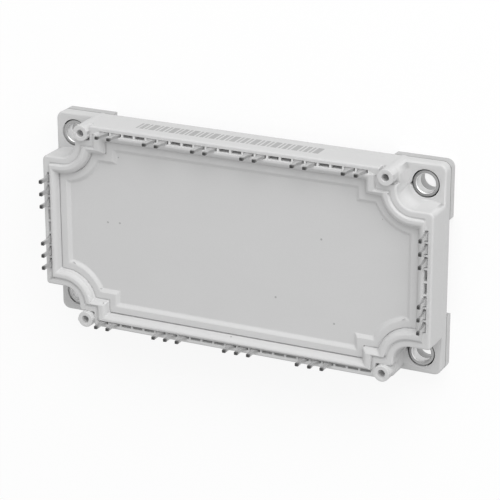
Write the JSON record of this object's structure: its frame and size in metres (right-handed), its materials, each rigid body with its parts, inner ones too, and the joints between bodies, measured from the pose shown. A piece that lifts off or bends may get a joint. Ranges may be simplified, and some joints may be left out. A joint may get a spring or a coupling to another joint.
{
  "type": "igbt module",
  "caption": "Flat power semiconductor module: moulded housing on a metal base plate, solder pins round its edge, recessed lid, board posts and corner mounting holes.",
  "frame": {"origin": "middle of the base plate's underside, which lies on the heatsink", "axes": "+X along the module towards the end away from the thermistor pins, +Y towards the gate pins, +Z out of the lid, the way the pins point"},
  "size_m": [0.122, 0.0622, 0.0205],
  "materials": {
    "nickel": "nickel plating, satin",
    "housing_plastic": "moulded, fine texture",
    "bush_steel": "turned, plain",
    "tinned_copper": "tin plating, dull",
    "sealant": "cured silicone",
    "solder": "reflowed",
    "bare_copper": "matte",
    "ceramic": "unglazed",
    "silicon": "metallised die",
    "thermistor_body": "plain",
    "aluminium_wire": "drawn",
    "gel": "soft and clear"
  },
  "bodies": {
    "root": {"base_plate": "nickel", "housing_frame": "housing_plastic", "lid": "housing_plastic", "adhesive_bead": "sealant", "bush_front_left": "bush_steel", "bush_front_right": "bush_steel", "bush_rear_left": "bush_steel", "bush_rear_right": "bush_steel", "gate_pins_1": "tinned_copper", "gate_pins_2": "tinned_copper", "gate_pins_3": "tinned_copper", "gate_pins_4": "tinned_copper", "gate_pins_5": "tinned_copper", "gate_pins_6": "tinned_copper", "thermistor_pins": "tinned_copper", "phase_pins_u": "tinned_copper", "phase_pins_v": "tinned_copper", "phase_pins_w": "tinned_copper", "plus_pins_left": "tinned_copper", "minus_pins_left": "tinned_copper", "plus_pins_right": "tinned_copper", "minus_pins_right": "tinned_copper", "plate_solder": "solder", "back_copper_u": "bare_copper", "back_copper_v": "bare_copper", "back_copper_w": "bare_copper", "ceramic_u": "ceramic", "ceramic_v": "ceramic", "ceramic_w": "ceramic", "tracks_u": "bare_copper", "tracks_v": "bare_copper", "tracks_w": "bare_copper", "chip_solder": "solder", "igbt_chips_u": "silicon", "igbt_chips_v": "silicon", "igbt_chips_w": "silicon", "diode_chips_u": "silicon", "diode_chips_v": "silicon", "diode_chips_w": "silicon", "thermistor": "thermistor_body", "chip_wires_u": "aluminium_wire", "chip_wires_v": "aluminium_wire", "chip_wires_w": "aluminium_wire", "rear_wires": "aluminium_wire", "front_wires": "aluminium_wire", "left_wires": "aluminium_wire", "right_wires": "aluminium_wire", "link_wires": "aluminium_wire", "silicone_gel": "gel"}
  },
  "joints": []
}
